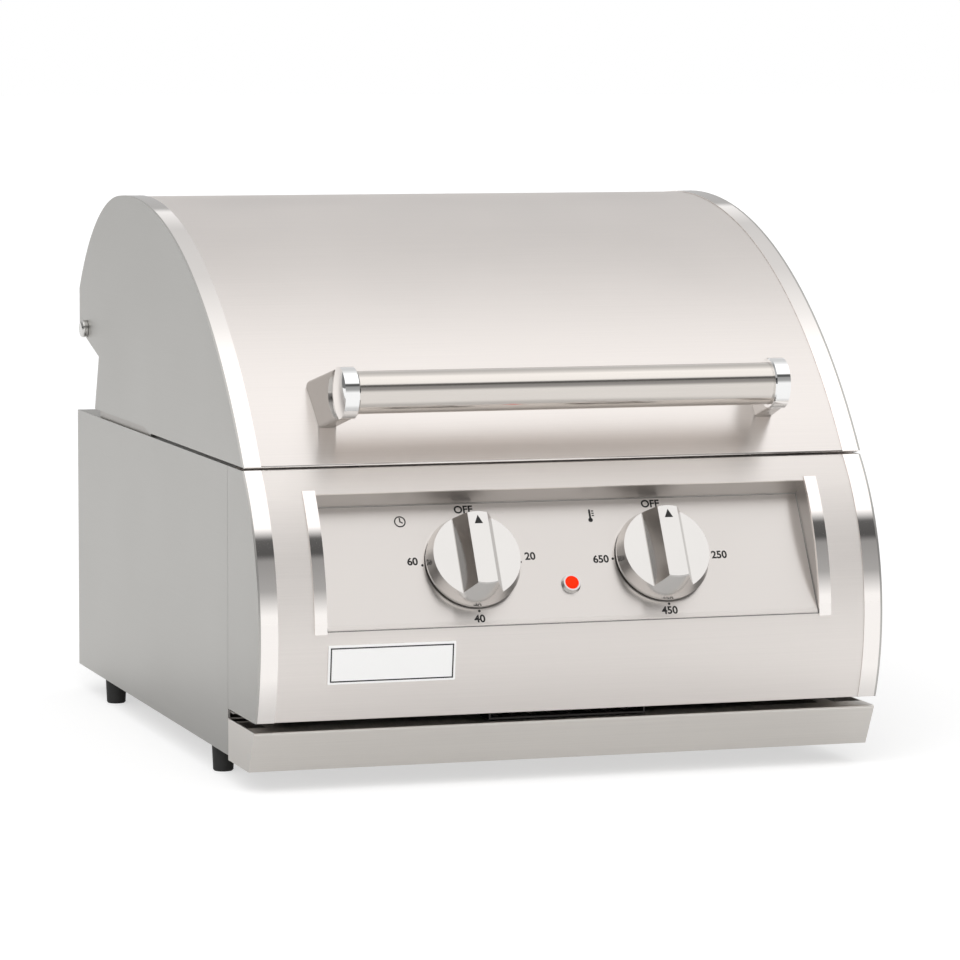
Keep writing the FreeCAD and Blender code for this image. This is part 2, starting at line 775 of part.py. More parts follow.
# The name plate is a bare flat plate on the curve of the fascia.
badge_left = badge_inset - half
badge_drop = (badge_top_drop + badge_bottom_drop) / 2
badge_height = badge_bottom_drop - badge_top_drop
badge_turn = math.degrees(math.asin((fascia_centre[1] + badge_drop) / fascia_radius))
badge = block(
    badge_left, badge_left + badge_width, -fascia_radius - badge_thick + band_proud,
    -fascia_radius + 3 * badge_thick, -badge_height / 2, badge_height / 2,
)
badge.rotate(FreeCAD.Vector(0, 0, 0), across, badge_turn)
badge.translate(at(*fascia_centre))
fascia_round = rod(
    2 * (fascia_radius - band_proud + weld_gap), at(*fascia_centre, -width), across, 2 * width
)
parts["badge_plate"] = badge.cut(fascia_round)
parts["fascia"] = fascia

# ---- knobs: each turns about the panel's normal with its shaft ----
knob_outline = (
    (0, knob_lift), (knob_foot_size / 2, knob_lift), (knob_skirt_size / 2, knob_skirt_height),
    (knob_top_size / 2, knob_height), (0, knob_height),
)


def knob_at(spot):
    """A turned knob with a cut-out each side of its grip, a cavity below and a bored hub."""
    solid = revolved(knob_outline, FreeCAD.Vector(0, 0, 0), up)
    big = knob_skirt_size
    solid = soften(solid, knob_edge, lambda e: e.CenterOfMass.z > knob_height - 1 and e.Length > big)
    grip = knob_grip_width / 2
    top = knob_grip_top_width / 2
    cutter_points = [
        (grip, knob_pocket_height), (grip, knob_bevel_height), (top, knob_height + knob_edge),
        (big, knob_height + knob_edge), (big, knob_pocket_height),
    ]
    corners = [FreeCAD.Vector(x, -big, z) for x, z in cutter_points]
    cutter = Part.Face(Part.makePolygon(corners + corners[:1]))
    cutter = cutter.extrude(FreeCAD.Vector(0, 2 * big, 0))
    solid = solid.cut(cutter).cut(mirrored(cutter))
    cavity = rod(knob_cavity_size, up * knob_lift, up, knob_cavity_height - knob_lift)
    hub = rod(knob_hub_size, up * (bushing_height + seat_gap), up, knob_cavity_height)
    bore = rod(shaft_size + running_gap, up * 0, up, shaft_end_height + seat_gap)
    solid = solid.cut(cavity).fuse(hub).removeSplitter().cut(bore)
    return on_dial(solid, spot)


def on_dial(solid, spot):
    """Stands a solid drawn on the xy plane on the panel at a dial, its y axis up the panel."""
    solid.Placement = FreeCAD.Placement(spot, FreeCAD.Rotation(across, 90.0 - panel_tilt))
    return solid


for name, spot in dial_spots.items():
    parts[name + "_knob"] = knob_at(spot)
    shaft_start = spot - panel_normal * shaft_inside
    parts[name + "_shaft"] = rod(shaft_size, shaft_start, panel_normal, shaft_inside + shaft_end_height)

# The timer and thermostat hang behind the panel on threaded bushings, each held by a flat nut.
back_face = FreeCAD.Vector(0, 0, -sheet - weld_gap)
timer_case = block(
    -timer_size / 2, timer_size / 2, -timer_size / 2, timer_size / 2,
    back_face.z - timer_depth, back_face.z,
)
thermostat_case = rod(thermostat_size, back_face - up * thermostat_depth, up, thermostat_depth)
bushing = rod(bushing_size, back_face - up, up, bushing_height - back_face.z + 1)
shaft_room_depth = shaft_inside + seat_gap
shaft_room = rod(
    shaft_size + 2 * running_gap, -up * shaft_room_depth, up, shaft_room_depth + bushing_height + 1
)
for name, case in (("timer", timer_case), ("thermostat", thermostat_case)):
    body = case.fuse(bushing).removeSplitter().cut(shaft_room)
    parts[name + "_body"] = on_dial(body, dial_spots[name])
control_nuts = []
for spot in dial_spots.values():
    nut = hexagon(control_nut_size, control_nut_height, up * weld_gap, up)
    nut = nut.cut(rod(bushing_size + weld_gap, up * 0, up, control_nut_height + 1))
    nut_place = FreeCAD.Placement(spot, FreeCAD.Rotation(across, 90.0 - panel_tilt))
    nut.Placement = nut_place.multiply(nut.Placement)
    control_nuts.append(nut)
parts["control_nuts"] = Part.makeCompound(control_nuts)

# ---- indicator lamp: bezel with a barrel through the panel, domed lens and lamp body ----
lens_seat = lamp_bezel_height / 2
bezel = revolved(
    (
        (lamp_body_size / 2 + weld_gap, -lamp_barrel_depth), (lamp_barrel_size / 2, -lamp_barrel_depth),
        (lamp_barrel_size / 2, weld_gap), (lamp_bezel_size / 2, weld_gap),
        (lamp_bezel_size / 2 - lamp_bezel_height / 3, lamp_bezel_height),
        (lamp_lens_size / 2 + weld_gap, lamp_bezel_height), (lamp_lens_size / 2 + weld_gap, lens_seat),
        (lamp_body_size / 2 + weld_gap, lens_seat),
    ),
    FreeCAD.Vector(0, 0, 0), up,
)
parts["lamp_bezel"] = on_dial(bezel, lamp_spot)
lens = rod(lamp_lens_size, up * (lens_seat + weld_gap), up, lamp_lens_height - lens_seat)
lens = soften(lens, lamp_lens_round, lambda e: e.CenterOfMass.z > lamp_lens_height)
parts["lamp_lens"] = on_dial(lens, lamp_spot)
lamp_case = rod(lamp_body_size, up * (lens_seat - lamp_body_depth), up, lamp_body_depth)
parts["lamp_body"] = on_dial(lamp_case, lamp_spot)

# ---- base shell: side panels, back panel, deck, floor and the bulkhead behind the controls ----
panel_front = seam_back + seam_gap
back_face_in = base_back - sheet
side_panel = block(side_face, half, panel_front, base_back, -base_height, deck_top)
flange_top = side_sheet - base_height
side_flange = block(
    half - flange_width, side_face, panel_front, back_face_in - weld_gap, -base_height, flange_top
)
side_panel = side_panel.fuse(side_flange).removeSplitter()

foot_backs = (foot_front_back, base_back - foot_rear_inset)
foot_axis = half - foot_inset
for foot_y in foot_backs:
    hole_start = at(foot_y, -base_height - 1, foot_axis)
    screw_hole = rod(foot_screw + 2 * hole_gap, hole_start, up, side_sheet + 2)
    side_panel = side_panel.cut(screw_hole)
parts["side_panel_right"] = side_panel
parts["side_panel_left"] = mirrored(side_panel)

inside = side_face - weld_gap
back_top = deck_top - sheet - weld_gap
back_panel = block(-inside, inside, back_face_in, base_back, -base_height, deck_top)
back_fold = block(
    inside - sheet, inside, back_face_in - back_flange, base_back, flange_top + weld_gap, back_top
)
back_panel = back_panel.fuse([back_fold, mirrored(back_fold)]).removeSplitter()
first_vent = -(vent_count - 1) * vent_pitch / 2
for row in range(vent_rows):
    vent_top = -vent_top_drop - row * vent_row_pitch
    for k in range(vent_count):
        vent_x = first_vent + k * vent_pitch
        back_panel = back_panel.cut(
            block(
                vent_x - vent_slot_width / 2, vent_x + vent_slot_width / 2,
                back_face_in - 1, base_back + 1, vent_top - vent_slot_height, vent_top,
            )
        )
back = FreeCAD.Vector(0, 1, 0)
gland_spot = at(back_face_in, gland_rise - base_height, gland_offset)
gland_cut = rod(gland_hole + 2 * hole_gap, gland_spot - back, back, sheet + 2)
back_panel = back_panel.cut(gland_cut)

# The deck is folded down along its edges, the back edge inside the back panel.
deck_back = back_face_in - weld_gap
fascia_end = fascia_flange + weld_gap
deck = block(-inside, inside, fascia_end, deck_back, deck_top - sheet, deck_top)
deck_fold = block(
    inside - sheet, inside, panel_front, deck_back - back_flange - sheet, deck_top - deck_lip, deck_top
)
fold_half = inside - sheet - back_flange
rear_fold = block(-fold_half, fold_half, deck_back - sheet, deck_back, deck_top - deck_lip, deck_top)
duct = firebox_half + hole_gap
duct_cut = block(
    -duct, duct, firebox_front - hole_gap, firebox_back + hole_gap, -2 * deck_lip, deck_top + 1
)
deck = deck.fuse([deck_fold, mirrored(deck_fold), rear_fold]).cut(duct_cut)
parts["top_deck"] = deck.removeSplitter()

# The floor carries the firebox's drain and closes the base over the tray.
bulkhead_rear = bulkhead_back + sheet
fold_inside = inside - sheet - weld_gap
bulkhead = block(
    -inside, inside, bulkhead_back, bulkhead_rear, sheet - floor_drop, deck_top - deck_lip - weld_gap
)
bulkhead_top = block(
    -fold_inside, fold_inside, bulkhead_back, bulkhead_rear, -2 * deck_lip, deck_top - sheet - weld_gap
)
bulkhead = bulkhead.fuse(bulkhead_top).removeSplitter()
floor = block(-inside, inside, fascia_end, deck_back, -floor_drop, sheet - floor_drop - weld_gap)
corner_cut = block(
    fold_inside, inside, back_face_in - back_flange - weld_gap, deck_back,
    -floor_drop - 1, 2 * sheet - floor_drop,
)
funnel_x = drain_half + liner_sheet
funnel_y = drain_depth / 2 + liner_sheet
drain_middle = (firebox_front + firebox_back) / 2
funnel_cut = block(
    -funnel_x - hole_gap, funnel_x + hole_gap, drain_middle - funnel_y - hole_gap,
    drain_middle + funnel_y + hole_gap, -floor_drop - 1, 1 - floor_drop + sheet,
)
parts["base_floor"] = floor.cut(corner_cut).cut(mirrored(corner_cut)).cut(funnel_cut)

# ---- firebox: rim on the deck, four walls, a floor that falls to its drain, two grid ledges ----
wall = liner_sheet
firebox = block(
    -firebox_half - firebox_rim, firebox_half + firebox_rim, firebox_front - firebox_rim,
    firebox_back + firebox_rim, deck_top, deck_top + wall,
)
firebox = firebox.fuse(
    block(-firebox_half, firebox_half, firebox_front, firebox_back, -firebox_drop, deck_top + wall)
)
side_level = firebox_slope - firebox_drop
drain_level = firebox_slope * drain_half / firebox_half - firebox_drop
drain_top = drain_level + wall
hollow_points = (
    (-firebox_half + wall, deck_top + 2 * wall), (firebox_half - wall, deck_top + 2 * wall),
    (firebox_half - wall, side_level + wall), (drain_half, drain_top),
    (-drain_half, drain_top), (-firebox_half + wall, side_level + wall),
)
under_points = (
    (-firebox_half, side_level), (-drain_half, drain_level),
    (drain_half, drain_level), (firebox_half, side_level),
    (firebox_half, -firebox_drop - 1), (-firebox_half, -firebox_drop - 1),
)


def across_box(points, y0, y1):
    """A solid from (x, z) points, from y0 to y1."""
    corners = [FreeCAD.Vector(x, y0, z) for x, z in points]
    return Part.Face(Part.makePolygon(corners + corners[:1])).extrude(FreeCAD.Vector(0, y1 - y0, 0))


hollow = across_box(hollow_points, firebox_front + wall, firebox_back - wall)
under = across_box(under_points, firebox_front - 1, firebox_back + 1)
firebox = firebox.cut(hollow).cut(under)
drain = block(
    -drain_half, drain_half, drain_middle - drain_depth / 2, drain_middle + drain_depth / 2,
    -firebox_drop - 1, drain_top + 1,
)
firebox = firebox.cut(drain)
ledge_top = deck_top - grid_drop
inner_front = firebox_front + wall
inner_back = firebox_back - wall
inner_half = firebox_half - wall
for ledge_front in (inner_front, inner_back - grid_ledge):
    ledge_back = ledge_front + grid_ledge
    firebox = firebox.fuse(
        block(-inner_half, inner_half, ledge_front, ledge_back, ledge_top - wall, ledge_top)
    )
firebox = firebox.removeSplitter()

# The funnel hangs under the drain and ends above the tray.
funnel_top = drain_top - wall - weld_gap
tray_top = tray_top_rise - base_height
funnel_bottom = tray_top + sheet
funnel = block(
    -funnel_x, funnel_x, drain_middle - funnel_y, drain_middle + funnel_y, funnel_bottom, funnel_top,
).cut(
    block(
        -drain_half, drain_half, drain_middle - drain_depth / 2, drain_middle + drain_depth / 2,
        funnel_bottom - 1, funnel_top + 1,
    )
)
parts["grease_funnel"] = funnel

# ---- heating element: one long bent rod, held by two bars and two insulators in the back wall ----
element_level = deck_top - element_drop
element_ends = firebox_back + element_tail
terminal_x = firebox_half - element_inset
element_pitch = 2 * terminal_x / (element_runs - 1)
element_bend = (element_pitch - element_straight) / 2
corners = []
for run in range(element_runs):
    run_x = run * element_pitch - terminal_x
    rear = element_ends if run in (0, element_runs - 1) else element_turn_back
    ends = (rear, element_front) if run % 2 == 0 else (element_front, rear)
    corners += [at(y, element_level, run_x) for y in ends]
parts["heating_element"] = bent_rod(element_size, element_bend, corners)
insulators = []
for x in (-terminal_x, terminal_x):
    start = at(firebox_back - insulator_depth / 2, element_level, x)
    element_bore = rod(element_size + 2 * weld_gap, start - back, back, insulator_depth + 2)
    insulators.append(rod(insulator_size, start, back, insulator_depth).cut(element_bore))
    firebox = firebox.cut(rod(insulator_size + 2 * weld_gap, start, back, insulator_depth))
parts["element_bushings"] = Part.makeCompound(insulators)

support_top = element_level - element_size / 2 - weld_gap
support_half = inner_half - weld_gap
supports = []
for support_y in (firebox_front + element_support_inset, firebox_back - element_support_inset):
    supports.append(
        block(
            -support_half, support_half, support_y, support_y + element_support_thick,
            support_top - element_support_height, support_top,
        )
    )
parts["element_supports"] = Part.makeCompound(supports)

# ---- thermostat bulb: a capillary runs through the bulkhead to a bulb inside the firebox ----
bulb_x = inner_half - bulb_size / 2 - bulb_wall_gap
capillary_x = firebox_half + firebox_rim
bulb_level = ledge_top - grid_bar_height - bulb_size
bulb_front = firebox_front + element_support_inset + bulb_inset
capillary_back = bulb_front - 4 * capillary_bend
thermostat_back = on_panel(0, -sheet - weld_gap - thermostat_depth)
leave = at(*thermostat_back, dial_offset + thermostat_size / 4)
turn_point = leave - panel_normal * 3 * capillary_bend
level = at(turn_point.y, turn_point.z, capillary_x)
route = [
    leave, turn_point, level,
    at(capillary_back, level.z, level.x),
    at(capillary_back, bulb_level, level.x),
    at(capillary_back, bulb_level, bulb_x),
    at(bulb_front, bulb_level, bulb_x),
]
capillary = bent_rod(capillary_size, capillary_bend / 2, route)
bulb = rod(bulb_size, route[-1], back, bulb_length)
parts["thermostat_bulb"] = capillary.fuse(bulb)
capillary_hole = capillary_size + 2 * hole_gap
through_bulkhead = at(bulkhead_back - 1, level.z, level.x)
bulkhead = bulkhead.cut(rod(capillary_hole, through_bulkhead, back, sheet + 2))
through_wall = at(capillary_back, bulb_level, inner_half - 1)
firebox = firebox.cut(rod(capillary_hole, through_wall, across, wall + 2))
parts["firebox_liner"] = firebox
parts["front_bulkhead"] = bulkhead

# ---- cooking grids: rods from front to back, welded across flat bars, resting on the ledges ----
grid_inner = grid_middle_gap / 2
grid_outer = inner_half - grid_end_gap
grid_front = inner_front + grid_end_gap
grid_rear = inner_back - grid_end_gap
rod_level = ledge_top + weld_gap + grid_rod / 2
bar_top = rod_level - grid_rod / 2 + grid_weld_depth
rod_pitch = (grid_outer - grid_inner - grid_rod) / (grid_rods - 1)
bar_front = inner_front + grid_ledge + 3 * grid_end_gap
bar_rear = inner_back - grid_ledge - 3 * grid_end_gap - grid_bar_width
grid_pieces = []
for k in range(grid_bars):
    bar_y = bar_front + (bar_rear - bar_front) * k / (grid_bars - 1)
    grid_pieces.append(
        block(
            grid_inner, grid_outer, bar_y, bar_y + grid_bar_width,
            bar_top - grid_bar_height, bar_top,
        )
    )
for k in range(grid_rods):
    rod_start = at(grid_front, rod_level, grid_inner + grid_rod / 2 + k * rod_pitch)
    grid_pieces.append(rod(grid_rod, rod_start, back, grid_rear - grid_front))
grid = grid_pieces[0].fuse(grid_pieces[1:])
parts["cooking_grid_right"] = grid
parts["cooking_grid_left"] = mirrored(grid)

# ---- drip tray: a folded front and a pan whose rims slide in two runners ----
tray_bottom = tray_top - tray_height
tray_toe = tray_slope_run - tray_front_reach
slope_length = math.hypot(tray_slope_run, tray_height)
wall_run = sheet * slope_length / tray_height
tray_side_run = tray_slope_run / tray_height * sheet
tray_face = slab(
    -half, half,
    (-tray_front_reach, tray_top),
    (tray_flange - tray_front_reach, tray_top),
    (tray_flange - tray_front_reach, tray_top - sheet),
    (wall_run + tray_side_run - tray_front_reach, tray_top - sheet),
    (wall_run - tray_side_run + tray_toe, tray_bottom + sheet),
    (tray_toe + tray_flange, tray_bottom + sheet),
    (tray_toe + tray_flange, tray_bottom),
    (tray_toe, tray_bottom),
)
tray_cheek = slab(
    half - sheet, half,
    (-tray_front_reach, tray_top), (seam_back, tray_top),
    (seam_back, tray_bottom), (tray_toe, tray_bottom),
)
parts["tray_front"] = tray_face.fuse([tray_cheek, mirrored(tray_cheek)]).removeSplitter()

rim_top = tray_top - sheet - weld_gap
rim_bottom = rim_top - sheet
pan_bottom = pan_bottom_rise - base_height
pan_outer = pan_half + pan_rim
pan_rims = block(-pan_outer, pan_outer, pan_front - pan_rim, pan_back, rim_bottom, rim_top)
pan_walls = block(-pan_half, pan_half, pan_front, pan_back, pan_bottom, rim_top)
pan_inside = block(
    sheet - pan_half, pan_half - sheet, pan_front + sheet, pan_back - sheet,
    pan_bottom + sheet, rim_top + 1,
)
parts["tray_pan"] = pan_rims.fuse(pan_walls).cut(pan_inside).removeSplitter()

ledge_level = rim_bottom - seat_gap
keeper_level = rim_top + seat_gap
runner_front = panel_front + sheet
runner = block(
    pan_half + runner_clearance, inside, runner_front, runner_back,
    ledge_level - sheet, keeper_level + sheet,
)
channel = block(
    pan_half, inside - sheet, runner_front - 1, runner_back + 1, ledge_level, keeper_level
)
keeper_trim = block(
    pan_half, pan_half + pan_rim / 2, runner_front - 1, runner_back + 1,
    ledge_level, keeper_level + 2 * sheet,
)
parts["tray_runners"] = pair(runner.cut(channel).cut(keeper_trim))

# A slotted plate under the controls lets cooling air in above the tray.
louvre_top = louvre_rise - base_height
louvre = block(
    -louvre_half, louvre_half, louvre_front, fascia_flange, louvre_top - sheet, louvre_top
)
louvre_fold = block(
    louvre_half, louvre_half + sheet, louvre_front, fascia_flange,
    louvre_top - sheet, -fascia_drop - weld_gap,
)
louvre = louvre.fuse([louvre_fold, mirrored(louvre_fold)]).removeSplitter()
slot_front = louvre_front + louvre_slot_width
slot_back = fascia_flange - louvre_slot_width
for k in range(louvre_slots):
    slot_left = (k - (louvre_slots - 1) / 2) * louvre_pitch - louvre_slot_width / 2
    slot_right = slot_left + louvre_slot_width
    louvre = louvre.cut(
        block(slot_left, slot_right, slot_front, slot_back, louvre_top - 2 * sheet, louvre_top + 1)
    )
parts["intake_louvre"] = louvre

# ---- feet and their screws, hood buffers ----
foot_outline = (
    (0, -standing_drop), (foot_bottom_size / 2 - foot_edge, -standing_drop),
    (foot_bottom_size / 2, foot_edge - standing_drop),
    (foot_top_size / 2, -base_height), (0, -base_height),
)
feet = []
foot_screws = []
for x in (-foot_axis, foot_axis):
    for foot_y in foot_backs:
        axis = FreeCAD.Vector(x, foot_y, 0)
        screw_tip = FreeCAD.Vector(x, foot_y, flange_top - foot_screw_length)
        bore = rod(foot_screw + 2 * weld_gap, screw_tip - up, up, foot_screw_length + 2)
        feet.append(revolved(foot_outline, axis, up).cut(bore))
        shank = rod(foot_screw, screw_tip, up, foot_screw_length)
        head = rod(foot_screw_head, FreeCAD.Vector(x, foot_y, flange_top), up, foot_screw_head_height)
        foot_screws.append(shank.fuse(head).removeSplitter())
parts["rubber_feet"] = Part.makeCompound(feet)
parts["foot_screws"] = Part.makeCompound(foot_screws)

buffer = rod(buffer_size, at(buffer_back, deck_top, half - buffer_inset), up, hood_gap - seat_gap)
parts["hood_buffers"] = pair(buffer)

# ---- back: screws, cord gland and terminal block ----
screw_rows = (-back_screw_inset, -base_height / 2, back_screw_inset - base_height)
screw_column = inside - back_flange / 2
back_screws = []
for x in (-screw_column, screw_column):
    for z in screw_rows:
        spot = at(base_back + weld_gap, z, x)
        shank = rod(back_screw, spot, -back, 3 * sheet)
        head = rod(back_screw_head, spot, back, back_screw_head_height)
        head = soften(head, back_screw_round, lambda e: e.CenterOfMass.y > base_back + 1)
        back_screws.append(shank.fuse(head).removeSplitter())
        back_panel = back_panel.cut(rod(back_screw + 2 * hole_gap, spot + back, -back, sheet + 2))
parts["back_screws"] = Part.makeCompound(back_screws)
parts["back_panel"] = back_panel

gland = rod(gland_hole, gland_spot - back * gland_inside, back, gland_inside + sheet + gland_reach)
gland = gland.fuse(hexagon(gland_nut, gland_nut_depth, gland_spot + back * (sheet + weld_gap), back))
gland = gland.fuse(hexagon(gland_nut, gland_nut_depth / 2, gland_spot - back * weld_gap, -back))
gland = gland.removeSplitter()
cord_bore = rod(cord_hole, gland_spot - back * width, back, 2 * width)
parts["cord_gland"] = gland.cut(cord_bore)

terminal_top = sheet - floor_drop + terminal_height
terminal_front = terminal_back - terminal_depth
terminal = block(
    gland_offset - terminal_width, gland_offset, terminal_front, terminal_back,
    sheet - floor_drop, terminal_top,
)
for k in range(terminal_poles):
    pole_x = gland_offset - terminal_width * (k + 0.5) / terminal_poles
    pole = at(terminal_back - terminal_depth / 2, terminal_top - terminal_height / 2, pole_x)
    terminal = terminal.cut(rod(terminal_hole, pole, up, terminal_height))
    terminal = terminal.cut(rod(terminal_hole, pole - back * terminal_depth, back, 2 * terminal_depth))
parts["terminal_block"] = terminal

# ---- export, moved so that the origin is under the middle of the whole part ----
whole = Part.makeCompound(list(parts.values()))
box = whole.optimalBoundingBox()
to_origin = FreeCAD.Vector(0, -(box.YMin + box.YMax) / 2, standing_drop)
print("moved by", to_origin, "pivot", at(pivot_back, pivot_height) + to_origin)
print("dials", [tuple(dial + to_origin) for dial in dial_spots.values()], "normal", tuple(panel_normal))
os.makedirs("parts", exist_ok=True)
for name, shape in parts.items():
    placed = shape.copy()
    placed.translate(to_origin)
    placed.exportStep("parts/" + name + ".step")
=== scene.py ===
import json
import math

import bmesh
import bpy
from mathutils import Matrix, Vector


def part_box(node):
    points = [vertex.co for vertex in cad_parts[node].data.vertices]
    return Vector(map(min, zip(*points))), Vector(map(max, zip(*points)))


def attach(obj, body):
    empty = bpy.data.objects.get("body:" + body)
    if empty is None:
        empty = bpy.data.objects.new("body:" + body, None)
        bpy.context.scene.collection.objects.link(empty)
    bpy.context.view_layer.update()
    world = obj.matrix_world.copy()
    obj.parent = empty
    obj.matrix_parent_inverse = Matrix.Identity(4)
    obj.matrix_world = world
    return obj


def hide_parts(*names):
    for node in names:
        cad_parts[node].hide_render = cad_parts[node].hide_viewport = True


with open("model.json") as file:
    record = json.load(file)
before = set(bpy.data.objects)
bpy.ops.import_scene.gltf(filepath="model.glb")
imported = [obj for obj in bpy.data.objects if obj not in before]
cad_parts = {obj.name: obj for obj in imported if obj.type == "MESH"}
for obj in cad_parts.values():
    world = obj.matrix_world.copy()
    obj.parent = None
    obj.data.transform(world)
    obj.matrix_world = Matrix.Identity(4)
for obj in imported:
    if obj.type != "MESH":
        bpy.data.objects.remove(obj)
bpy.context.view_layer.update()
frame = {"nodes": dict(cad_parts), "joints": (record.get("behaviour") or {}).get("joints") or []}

nodes = frame["nodes"]
scene = bpy.context.scene
scene.view_settings.view_transform = "Standard"


# ==== camera ====
# A long lens looks slightly down at the grill from its front left, about three and a half metres
# away. The camera is rolled by a fraction of a degree.
camera_place = (-1.03388, -3.31377, 0.54285)
camera_turn = math.radians(17.61729)        # to the right of straight ahead
camera_dip = math.radians(5.76215)
camera_roll = math.radians(0.15807)
camera_data = bpy.data.cameras.new("camera")
camera_data.lens = 169.25
camera_data.sensor_width = 36.0
camera = bpy.data.objects.new("camera", camera_data)
camera.matrix_world = (
    Matrix.Translation(camera_place)
    @ Matrix.Rotation(-camera_turn, 4, "Z")
    @ Matrix.Rotation(math.pi / 2 - camera_dip, 4, "X")
    @ Matrix.Rotation(camera_roll, 4, "Z")
)
scene.collection.objects.link(camera)
scene.camera = camera


# ==== studio light ====
# Soft lamps and a plain world light what is matt. Metal mirrors a tent of light instead: a wide
# soft box overhead, a wall in front that is bright at its foot and dim above, and one behind.
class Socket:
    """A node's output, or the empty start of a node tree. Arithmetic on it adds Math nodes."""

    def __init__(self, tree, link=None):
        self.tree = tree
        self.link = link

    def node(self, kind, settings=None, values=None, output=0):
        """Any other node: its settings first, then a value or a link for each socket."""
        made = self.tree.nodes.new(kind)
        for name, setting in (settings or {}).items():
            if name == "stops":
                stops = made.color_ramp.elements
                for place, _ in setting[2:]:
                    stops.new(place)
                for stop, (place, colour) in zip(stops, setting):
                    stop.position = place
                    stop.color = (*colour, 1.0)
            else:
                setattr(made, name, setting)
        for name, value in (values or {}).items():
            if isinstance(value, Socket):
                self.tree.links.new(value.link, made.inputs[name])
            else:
                made.inputs[name].default_value = value
        return Socket(self.tree, made.outputs[output] if len(made.outputs) else None)

    def maths(self, operation, first, second):
        return self.node("ShaderNodeMath", {"operation": operation}, {0: first, 1: second})

    def __add__(self, other):
        return self.maths("ADD", self, other)

    def __sub__(self, other):
        return self.maths("SUBTRACT", self, other)

    def __rsub__(self, other):
        return self.maths("SUBTRACT", other, self)

    def __mul__(self, other):
        return self.maths("MULTIPLY", self, other)

    __radd__ = __add__
    __rmul__ = __mul__


def grey(value):
    return (value, value, value)


def ray_kinds(start):
    """Whether a ray comes from the camera, off metal or through glass."""
    kinds = ("Is Camera Ray", "Is Glossy Ray", "Is Transmission Ray")
    return [start.node("ShaderNodeLightPath", output=kind) for kind in kinds]


matt_light = 0.55                           # of the world on matt surfaces
tent_light = 1.3                            # of the soft box in metal
tent_profile = (                            # turn from the front horizon over the top, and tone
    (0, 0.77), (4, 0.77), (16, 0.31), (31, 0.24), (34, 0.07), (42, 0.09), (48, 0.93), (90, 1.0),
    (103, 0.74), (120, 0.55), (142, 0.50), (154, 0.72), (157, 0.35), (180, 0.40),
)
tent_sides = (                              # squared sideways lean, and tone
    (0.20, 1.0), (0.41, 0.38), (0.8, 0.38), (0.95, 0.03),
)
world = bpy.data.worlds.new("studio")
world.use_nodes = True
world.cycles.sampling_method = "NONE"
world.node_tree.nodes.clear()
scene.world = world
sky = Socket(world.node_tree)
away = sky.node("ShaderNodeTexCoord", output="Generated")
away_x, away_y, away_z = (
    sky.node("ShaderNodeSeparateXYZ", values={0: away}, output=axis) for axis in "XYZ"
)
turn = sky.maths("ARCTAN2", away_z, away_y * -1.0)
tent = sky.node(
    "ShaderNodeValToRGB",
    {"stops": [(degrees / 180, grey(tone)) for degrees, tone in tent_profile]},
    {0: turn * (1 / math.pi)},
)
side = sky.node(
    "ShaderNodeValToRGB",
    {"stops": [(lean, grey(tone)) for lean, tone in tent_sides]},
    {0: away_x * away_x},
)
seen, mirrored, through = ray_kinds(sky)
in_metal = mirrored * (tent * side * tent_light - matt_light)
strength = matt_light + (seen + through) * (1 - matt_light) + in_metal
backdrop = sky.node("ShaderNodeBackground", values={"Color": (1, 1, 1, 1), "Strength": strength})
sky.node("ShaderNodeOutputWorld", values={"Surface": backdrop})


def soft_lamp(name, power, spread, azimuth, height):
    """A broad lamp from a compass direction and a height, both in degrees."""
    data = bpy.data.lights.new(name, "SUN")
    data.energy = power
    data.angle = math.radians(spread)
    lamp = bpy.data.objects.new(name, data)
    turned = Matrix.Rotation(math.radians(azimuth), 4, "Z")
    lamp.matrix_world = turned @ Matrix.Rotation(math.radians(90 - height), 4, "X")
    lamp.visible_glossy = False
    scene.collection.objects.link(lamp)


soft_lamp("key_lamp", 1.9, 60, -30, 42)
soft_lamp("fill_lamp", 0.3, 90, 60, 50)


def mesh_object(name, shape, material, smooth=False):
    """A piece from a finished bmesh, at the origin."""
    mesh = bpy.data.meshes.new(name)
    for face in shape.faces:
        face.smooth = smooth
    shape.to_mesh(mesh)
    shape.free()
    mesh.materials.append(material)
    made = bpy.data.objects.new(name, mesh)
    scene.collection.objects.link(made)
    return made


def new_material(name):
    """An empty material and the start of its node tree."""
    material = bpy.data.materials.new(name)
    material.use_nodes = True
    material.node_tree.nodes.clear()
    return material, Socket(material.node_tree)


# ==== floor ====
# The grill stands on a pale sheet that runs far out on all sides and keeps its soft shadow. In
# metal the sheet is dim right by the grill and bright further off.
floor_half = 30.0
floor_tone = 0.52
floor_glow = 0.56                           # what the floor adds where it is looked at
near_glow = 0.13                            # what it adds in metal, nearer than near_reach
near_reach = 0.36
far_glow = 0.45                             # and further off than far_reach
far_reach = 0.50
floor_material, tree = new_material("floor")
seen, mirrored, through = ray_kinds(tree)
floor_place = tree.node("ShaderNodeTexCoord", output="Object")
floor_reach = tree.node("ShaderNodeVectorMath", {"operation": "LENGTH"}, {0: floor_place}, output=1)
spread = tree.node(
    "ShaderNodeMapRange", {"interpolation_type": "SMOOTHSTEP"},
    {
        "Value": floor_reach,
        "From Min": near_reach, "From Max": far_reach, "To Min": near_glow, "To Max": far_glow,
    },
)
matt = tree.node("ShaderNodeBsdfDiffuse", values={"Color": (*grey(floor_tone), 1)})
added = (seen + through) * floor_glow + mirrored * spread
glow = tree.node("ShaderNodeEmission", values={"Color": (1, 1, 1, 1), "Strength": added})
both = tree.node("ShaderNodeAddShader", values={0: matt, 1: glow})
tree.node("ShaderNodeOutputMaterial", values={"Surface": both})
shape = bmesh.new()
bmesh.ops.create_grid(shape, x_segments=1, y_segments=1, size=floor_half)
floor = mesh_object("floor", shape, floor_material)


